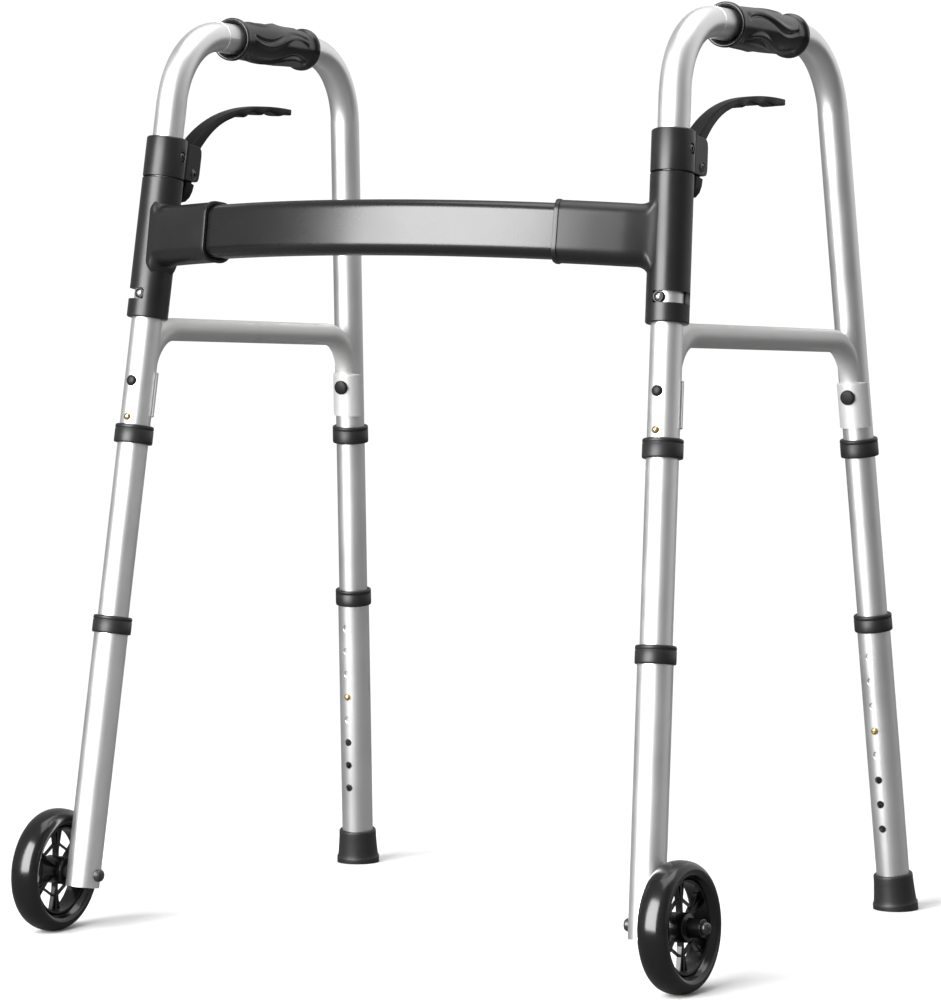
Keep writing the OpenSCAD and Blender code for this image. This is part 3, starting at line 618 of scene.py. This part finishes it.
brace = Shape()
front_rings = brace_end(corner_f, f_dir, f_in, rail, turn_f, 455, 520, (0, 0))
rear_rings = brace_end(corner_r, r_dir, r_in, rail, turn_r, 498, 560, foot)
brace.add(*loft(front_rings), RIGHT)
brace.add(*loft(rear_rings), RIGHT)
pair("brace_tube", brace, m_brace, "side_frame_{side}", ["brace"], sharp=55)

# ---------------------------------------------------------------- bolts, caps and buttons on the legs
bolts = Shape()
for place, face in ((FRONT @ shift(0, 0, FRONT_BOLT), FORWARD), (REAR @ shift(0, 0, REAR_BOLT), BACKWARD)):
    bolts.add(*lathe([(0, 14.6), (5.4, 14.6), (5.4, 15.6), (4.9, 16.6), (3.6, 17.5), (1.8, 18.0),
                      (0, 18.1)], 32), RIGHT @ place @ face)
    bolts.add(*lathe([(0, -21.3), (4.6, -21.1), (6.8, -20.5), (7.5, -19.2), (7.5, -17.3), (0, -17.3)], 40),
              RIGHT @ place @ face)
pair("brace_bolt_heads", bolts, m_cap, "side_frame_{side}", ["brace_bolts"])


def snap(foot_z, crown):
    """Profile of a snap button, domed with a small dimple."""
    dome = [(BUTTON_R * math.cos(deg(a)), crown - BUTTON_R * 0.8 * (1 - math.sin(deg(a))))
            for a in range(0, 75, 9)]
    dimple = [(0.9, crown - 0.03), (0.75, crown - 0.7), (0, crown - 0.7)]
    return [(0, foot_z), (BUTTON_R, foot_z)] + dome + dimple


down_to_hole = HOLE_PITCH * (HOLE_IN_USE - 1)
for name, place, face, f0, crown in (
        ("upper_button_front", FRONT @ shift(0, 0, FRONT_SNAP), FORWARD, 7.4, TUBE_R + 3),
        ("upper_button_rear", REAR @ shift(0, 0, REAR_SNAP), BACKWARD, 7.4, TUBE_R + 3),
        ("height_button_front", FRONT @ shift(0, 0, FRONT_FIRST_HOLE - down_to_hole), BACKWARD,
         8.4, LOWER_R + 2.8),
        ("height_button_rear", REAR @ shift(0, 0, REAR_FIRST_HOLE - down_to_hole), FORWARD,
         8.4, LOWER_R + 2.8)):
    button = Shape().add(*lathe(snap(f0, crown), 28), RIGHT @ place @ face)
    pair(name + "_dome", button, m_brass, name + "_body_{side}", [name], sharp=35)
at_stop = on_front @ shift(0, 0, STOP_STATION) @ FORWARD
stop_dome = [(3.9 * math.cos(deg(a)), 18.0 + 3.0 * math.sin(deg(a))) for a in range(0, 80, 10)]
stop = Shape().add(*lathe([(0, 11), (3.9, 11)] + stop_dome + [(1.2, 20.5), (1.0, 19.6), (0, 19.6)], 32),
                   at_stop)
pair("stop_rivet", stop, m_steel, "side_frame_{side}", ["stop_button"])
seat = Shape()
seat.add(*lathe([(4.1, 15.6), (5.3, 15.6), (5.3, 19.3), (5.0, 19.8), (4.4, 19.8), (4.1, 19.3)], 40), at_stop)
pair("stop_rivet_seat", seat, m_hub, "side_frame_{side}", [])

# ---------------------------------------------------------------- collars on the legs
def band(z0, z1, r, inner):
    """A moulded ring with rolled edges and a shallow bead under its upper edge."""
    low_edge = [(inner, z0 + 0.4), (r - 1.5, z0), (r - 0.5, z0 + 0.3), (r - 0.1, z0 + 1.0), (r, z0 + 2.0)]
    bead = [(r, z1 - 5.0), (r - 0.45, z1 - 4.6), (r - 0.45, z1 - 4.1), (r, z1 - 3.7)]
    top_edge = [(r - 0.05, z1 - 1.6), (r - 0.5, z1 - 0.5), (r - 1.6, z1), (inner, z1 - 0.3)]
    return low_edge + bead + top_edge


joint_rings = Shape()
joint_rings.add(*lathe(band(426.5, 445, 19.2, TUBE_R + 0.05), 72), RIGHT @ FRONT)
joint_rings.add(*lathe(band(467.5, 486, 19.2, TUBE_R + 0.05), 72), RIGHT @ REAR)
pair("joint_ring_bands", joint_rings, m_collar, "side_frame_{side}", ["joint_rings"],
     sharp=50)
for name, place, z0, z1 in (("front", FRONT, 237.5, 255), ("rear", REAR, 289, 306.5)):
    sleeve = Shape().add(*lathe(band(z0, z1, 19.3, TUBE_R + 0.2), 72), RIGHT @ place)
    pair(f"leg_sleeve_{name}_band", sleeve, m_collar, f"lower_{name}_{{side}}", [f"leg_sleeve_{name}"],
         sharp=50)

# ---------------------------------------------------------------- rubber tips
tip = Shape()
tip_profile = [(0, 9.9), (16.8, 9.9), (16.8, 37.2), (17.6, 37.6), (18.8, 37.5), (19.8, 36.6), (20.1, 35),
               (20.15, 30), (20.5, 25), (21.0, 18), (21.5, 12), (21.9, 9), (22.2, 8.2), (22.8, 7.6),
               (23, 6.6), (23, 1.0), (23, -2.8), (22.6, -3.2), (0, -3.2)]
points, faces = lathe(tip_profile, 96)
points = [RIGHT @ REAR @ Vector(p) for p in points]
points = [Vector((p.x, p.y, max(p.z, 0.0))) for p in points]
tip.add(points, faces)
pair("rubber_tip_ferrule", tip, m_tip, "lower_rear_{side}", ["rubber_tip"], sharp=50)

# ---------------------------------------------------------------- wheels
on_wheel = RIGHT @ shift(WHEEL_OUT, 0, 0) @ ON_AXLE
tyre_profile = []
for k in range(64):
    a = 2 * math.pi * k / 64
    c, s = math.cos(a), math.sin(a)
    r = 51.85 + 8.85 * math.copysign(abs(c) ** 0.94, c)
    z = 15 * math.copysign(abs(s) ** 0.9, s)
    if r < 47.5:
        z *= 1 - 0.10 * smooth((47.5 - r) / 1.6)
    tyre_profile.append((r, z))
tyre = Shape().add(*lathe(tyre_profile, 128), on_wheel)
pair("tyre_tread", tyre, m_tyre, "wheel_{side}", ["tyre"], sharp=75)

core = Shape()
core.add(*lathe([(41.2, -8), (43.3, -8), (43.3, 8), (41.2, 8), (41.6, 5), (41.6, -5)], 96), on_wheel)
core.add(*lathe([(4.6, -14.8), (13.0, -14.8), (13.8, -13.8), (13.8, 7.5), (13.0, 9.6), (9.6, 10.2),
                 (9.0, 13.2), (8.5, 24.4), (7.9, 25), (4.6, 25)], 48), on_wheel)
for i in range(6):
    turn = on_wheel @ rot("Z", 60 * i)
    core.add(*block(13, 42.2, -1.9, 1.9, -2.6, 3.2), turn)
    for s in (-1, 1):
        core.add(*block(0, 28.4, -0.9, 0.9, -2.2, 2.8), turn @ shift(13, 0, 0) @ rot("Z", 13 * s))
for i in range(6):
    turn = on_wheel @ rot("Z", 60 * i + 30)
    core.add(*block(23.4, 25.0, -14.0, 14.0, -1.8, 2.2), turn)
pair("wheel_core_moulding", core, m_core, "wheel_{side}", ["wheel_core"], bevel=0.4)

heads = Shape()
heads.add(*lathe([(0, 59.1), (5.9, 59.1), (6.1, 60.2), (5.7, 62), (4.6, 63.8), (2.6, 64.9), (0, 65.1)], 40),
          RIGHT @ ON_AXLE)
pair("axle_head_dome", heads, m_black_steel, "lower_front_{side}", [])

# ---------------------------------------------------------------- camera
cam_data = bpy.data.cameras.new("camera")
cam_data.sensor_width = 36.0
cam_data.lens = 146.5272
cam_data.shift_x = -0.0007
cam_data.shift_y = 0.0011
cam_data.clip_end = 100
cam = bpy.data.objects.new("camera", cam_data)
bpy.context.scene.collection.objects.link(cam)
azimuth, down = math.radians(29.83), math.radians(3.57)
back = Vector((math.sin(azimuth) * math.cos(down), -math.cos(azimuth) * math.cos(down), math.sin(down)))
cam.location = (1.9979, -3.2609 - MID_Y / 1000, 0.6747)
cam.rotation_mode = "QUATERNION"
cam.rotation_quaternion = (-back).to_track_quat("-Z", "Y")
bpy.context.scene.camera = cam

# ---------------------------------------------------------------- floor, light
floor_mesh = bpy.data.meshes.new("studio_floor")
floor_mesh.from_pydata([(-60, -60, 0), (60, -60, 0), (60, 60, 0), (-60, 60, 0)], [], [(0, 1, 2, 3)])
floor = bpy.data.objects.new("studio_floor", floor_mesh)
bpy.context.scene.collection.objects.link(floor)
paper = bpy.data.materials.new("studio_paper")
paper.use_nodes = True
nodes, links = paper.node_tree.nodes, paper.node_tree.links
matt = nodes["Principled BSDF"]
matt.inputs["Base Color"].default_value = (0.9, 0.9, 0.9, 1)
matt.inputs["Roughness"].default_value = 0.9
matt.inputs["Specular IOR Level"].default_value = 0.1
glow = nodes.new("ShaderNodeEmission")
glow.inputs["Strength"].default_value = 1.05
where = nodes.new("ShaderNodeTexCoord")
far = nodes.new("ShaderNodeVectorMath")
far.operation = "LENGTH"
links.new(where.outputs["Object"], far.inputs[0])
fade = nodes.new("ShaderNodeMapRange")
fade.inputs["From Min"].default_value = 0.5
fade.inputs["From Max"].default_value = 2.2
fade.inputs["To Min"].default_value = 0.0
fade.inputs["To Max"].default_value = 1.0
links.new(far.outputs["Value"], fade.inputs["Value"])
blend = nodes.new("ShaderNodeMixShader")
links.new(fade.outputs["Result"], blend.inputs[0])
links.new(matt.outputs["BSDF"], blend.inputs[1])
links.new(glow.outputs["Emission"], blend.inputs[2])
dim = nodes.new("ShaderNodeBsdfDiffuse")
dim.inputs["Color"].default_value = (0.16, 0.16, 0.16, 1)
seen = nodes.new("ShaderNodeLightPath")
choose = nodes.new("ShaderNodeMixShader")
links.new(seen.outputs["Is Camera Ray"], choose.inputs[0])
links.new(dim.outputs["BSDF"], choose.inputs[1])
links.new(blend.outputs["Shader"], choose.inputs[2])
links.new(choose.outputs["Shader"], nodes["Material Output"].inputs["Surface"])
floor_mesh.materials.append(paper)


def panel(name, place, aim, width, height, power):
    data = bpy.data.lights.new(name, "AREA")
    data.shape = "RECTANGLE"
    data.size, data.size_y = width, height
    data.energy = power
    lamp = bpy.data.objects.new(name, data)
    bpy.context.scene.collection.objects.link(lamp)
    lamp.location = place
    lamp.rotation_mode = "QUATERNION"
    lamp.rotation_quaternion = (Vector(aim) - Vector(place)).to_track_quat("-Z", "Y")
    return lamp


def around(angle, distance, height):
    """A place at an angle from the camera's side, positive to the camera's right."""
    a = azimuth + math.radians(angle)
    return (math.sin(a) * distance, -math.cos(a) * distance, height)


panel("key", around(-42, 3.4, 1.75), (0, 0, 0.8), 2.7, 3.4, 370)
panel("top", (0.2, 0.3, 3.4), (0, 0, 0.4), 2.4, 2.4, 40)

world = bpy.data.worlds.new("studio")
bpy.context.scene.world = world
world.use_nodes = True
nodes, links = world.node_tree.nodes, world.node_tree.links
nodes.clear()
out = nodes.new("ShaderNodeOutputWorld")
direction = nodes.new("ShaderNodeTexCoord")
turned = nodes.new("ShaderNodeVectorRotate")
turned.rotation_type = "Z_AXIS"
turned.inputs["Angle"].default_value = -azimuth
links.new(direction.outputs["Generated"], turned.inputs["Vector"])
parts = nodes.new("ShaderNodeSeparateXYZ")
links.new(turned.outputs["Vector"], parts.inputs["Vector"])
bearing = nodes.new("ShaderNodeMath")
bearing.operation = "ARCTAN2"
links.new(parts.outputs["X"], bearing.inputs[0])
minus = nodes.new("ShaderNodeMath")
minus.operation = "MULTIPLY"
minus.inputs[1].default_value = -1.0
links.new(parts.outputs["Y"], minus.inputs[0])
links.new(minus.outputs["Value"], bearing.inputs[1])
share = nodes.new("ShaderNodeMapRange")
share.inputs["From Min"].default_value = -math.pi
share.inputs["From Max"].default_value = math.pi
links.new(bearing.outputs["Value"], share.inputs["Value"])
walls = nodes.new("ShaderNodeValToRGB")
ramp = walls.color_ramp
ramp.interpolation = "EASE"
# Brightness of the studio walls by bearing in degrees from the camera's side
stops = [(-180, 0.40), (-116, 0.34), (-84, 0.42), (-45, 0.5), (-12, 0.4), (18, 0.30), (48, 0.22), (70, 0.36),
         (100, 0.80), (150, 0.84), (180, 0.44)]
while len(ramp.elements) < len(stops):
    ramp.elements.new(0.5)
for element, (angle, value) in zip(ramp.elements, stops):
    element.position = (angle + 180) / 360
    element.color = (value, value, value, 1)
links.new(share.outputs["Result"], walls.inputs["Fac"])
light_walls = nodes.new("ShaderNodeBackground")
links.new(walls.outputs["Color"], light_walls.inputs["Color"])
white = nodes.new("ShaderNodeBackground")
white.inputs["Color"].default_value = (1, 1, 1, 1)
white.inputs["Strength"].default_value = 1.05
ray = nodes.new("ShaderNodeLightPath")
pick = nodes.new("ShaderNodeMixShader")
links.new(ray.outputs["Is Camera Ray"], pick.inputs[0])
links.new(light_walls.outputs["Background"], pick.inputs[1])
links.new(white.outputs["Background"], pick.inputs[2])
links.new(pick.outputs["Shader"], out.inputs["Surface"])

view = bpy.context.scene.view_settings
view.view_transform = "Standard"
view.look = "None"
view.exposure = 0.0
